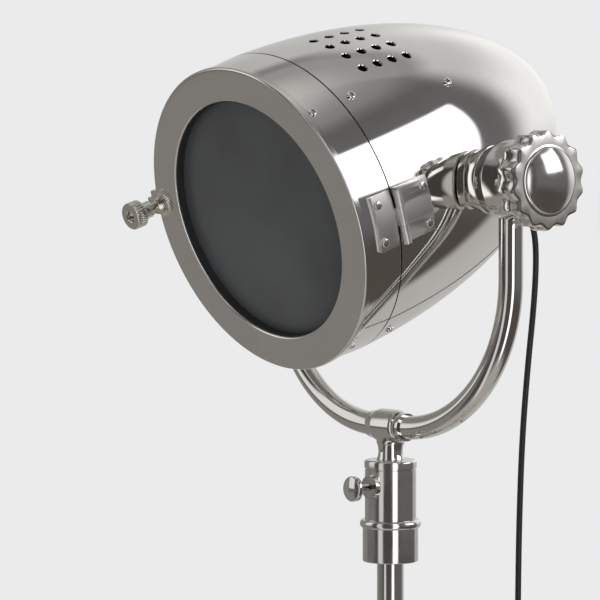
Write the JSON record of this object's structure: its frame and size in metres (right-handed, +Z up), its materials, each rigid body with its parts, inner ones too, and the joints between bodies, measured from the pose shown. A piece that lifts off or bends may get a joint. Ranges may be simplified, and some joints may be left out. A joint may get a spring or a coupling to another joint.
{
  "type": "tripod floor lamp",
  "caption": "Polished studio spot floor lamp: bullet drum head with hinged glazed door, in a round-tube yoke on a clutch, telescopic column and tripod, with a black cord.",
  "frame": {"origin": "on the floor, on the column's axis", "axes": "+Z up; X along the tilt axis with the pictured knob at +X; the lamp looks towards -Y, pitched down by 18.16 degrees"},
  "size_m": [0.6392, 0.5574, 1.5445],
  "materials": {
    "polished_nickel": "polished",
    "polished_casting": "polished",
    "steel": "bright",
    "reflector": "satin anodised",
    "front_glass": "clear, slightly grey",
    "bulb_glass": "opal",
    "ceramic": "glazed",
    "black_rubber": "matt",
    "black_cord": "matt sheath",
    "black_plastic": "fine matt",
    "pin_brass": "nickel-plated"
  },
  "bodies": {
    "stand": {"leg_hub": "polished_casting", "leg_1": "polished_nickel", "leg_2": "polished_nickel", "leg_3": "polished_nickel", "foot_1": "black_rubber", "foot_2": "black_rubber", "foot_3": "black_rubber", "leg_screws": "steel", "mast_tube": "polished_nickel", "mast_cap": "polished_nickel", "mast_collar": "polished_nickel", "cord_low": "black_cord", "cord_floor": "black_cord", "cord_tail": "black_cord", "cord_coil": "black_cord", "coil_tie": "black_cord", "plug_body": "black_plastic", "plug_pins": "pin_brass", "switch_body": "black_plastic"},
    "mast": {"column_tube": "polished_nickel", "clutch_lower": "polished_nickel", "clutch_ring": "polished_nickel", "clutch_spigot": "steel", "cord_drop": "black_cord"},
    "yoke": {"clutch_upper": "polished_nickel", "clutch_boss": "polished_nickel", "tee_fitting": "polished_nickel", "yoke_tube": "polished_nickel", "yoke_hub_right": "polished_casting", "yoke_hub_left": "polished_casting", "cord_top": "black_cord"},
    "head": {"housing": "polished_nickel", "housing_screws": "steel", "pivot_bosses": "polished_casting", "boss_nuts": "polished_casting", "tilt_washers": "black_rubber", "reflector": "reflector", "holder_plate": "steel", "lampholder": "ceramic", "bulb": "bulb_glass", "hinge_body_leaf": "polished_nickel", "hinge_body_screws": "steel", "hinge_pin": "steel", "latch_keeper": "polished_nickel", "cord_gland": "black_cord"},
    "door": {"door_ring": "polished_nickel", "bezel": "polished_nickel", "glass": "front_glass", "glass_gasket": "black_rubber", "glass_clips": "steel", "door_screws": "steel", "hinge_door_leaf": "polished_nickel", "hinge_door_screws": "steel", "latch_lug": "polished_nickel"},
    "latch": {"latch_screw": "polished_casting"},
    "knob_right": {"tilt_knob_right": "polished_casting"},
    "knob_left": {"tilt_knob_left": "polished_casting"},
    "clutch_thumb": {"clutch_screw": "polished_casting"},
    "mast_thumb": {"mast_screw": "polished_casting"},
    "button": {"switch_button": "black_plastic"}
  },
  "joints": [
    {"name": "mast_slide", "type": "slide", "parent": "stand", "child": "mast", "axis": [0, 0, 1], "range_m": [-0.22, 0.2], "deforming": ["cord_low", "cord_drop"]},
    {"name": "pan", "type": "hinge", "parent": "mast", "child": "yoke", "pos_m": [0, 0, 1.11], "axis": [0, 0, 1], "range_deg": [-170, 170], "deforming": ["cord_drop", "cord_top"]},
    {"name": "tilt", "type": "hinge", "parent": "yoke", "child": "head", "pos_m": [0, 0, 1.4], "axis": [1, 0, 0], "range_deg": [-60, 35], "deforming": ["cord_top"]},
    {"name": "door_swing", "type": "hinge", "parent": "head", "child": "door", "pos_m": [0.14736, -0.11419, 1.36953], "axis": [0.0567, -0.3112, 0.9487], "range_deg": [0, 110]},
    {"name": "latch_turn", "type": "hinge", "parent": "door", "child": "latch", "pos_m": [-0.15675, -0.15948, 1.37284], "axis": [0, -0.9502, -0.3117], "continuous": true},
    {"name": "knob_right_turn", "type": "hinge", "parent": "yoke", "child": "knob_right", "pos_m": [0.2, 0, 1.4], "axis": [1, 0, 0], "continuous": true},
    {"name": "knob_left_turn", "type": "hinge", "parent": "yoke", "child": "knob_left", "pos_m": [-0.2, 0, 1.4], "axis": [-1, 0, 0], "continuous": true},
    {"name": "clutch_thumb_turn", "type": "hinge", "parent": "yoke", "child": "clutch_thumb", "pos_m": [0, -0.03, 1.114], "axis": [0, -1, 0], "continuous": true},
    {"name": "mast_thumb_turn", "type": "hinge", "parent": "stand", "child": "mast_thumb", "pos_m": [0, -0.03, 0.741], "axis": [0, -1, 0], "continuous": true},
    {"name": "switch_press", "type": "slide", "parent": "stand", "child": "button", "axis": [0, 0, -1], "range_m": [0, 0.003], "stiffness_N_per_m": 400}
  ]
}
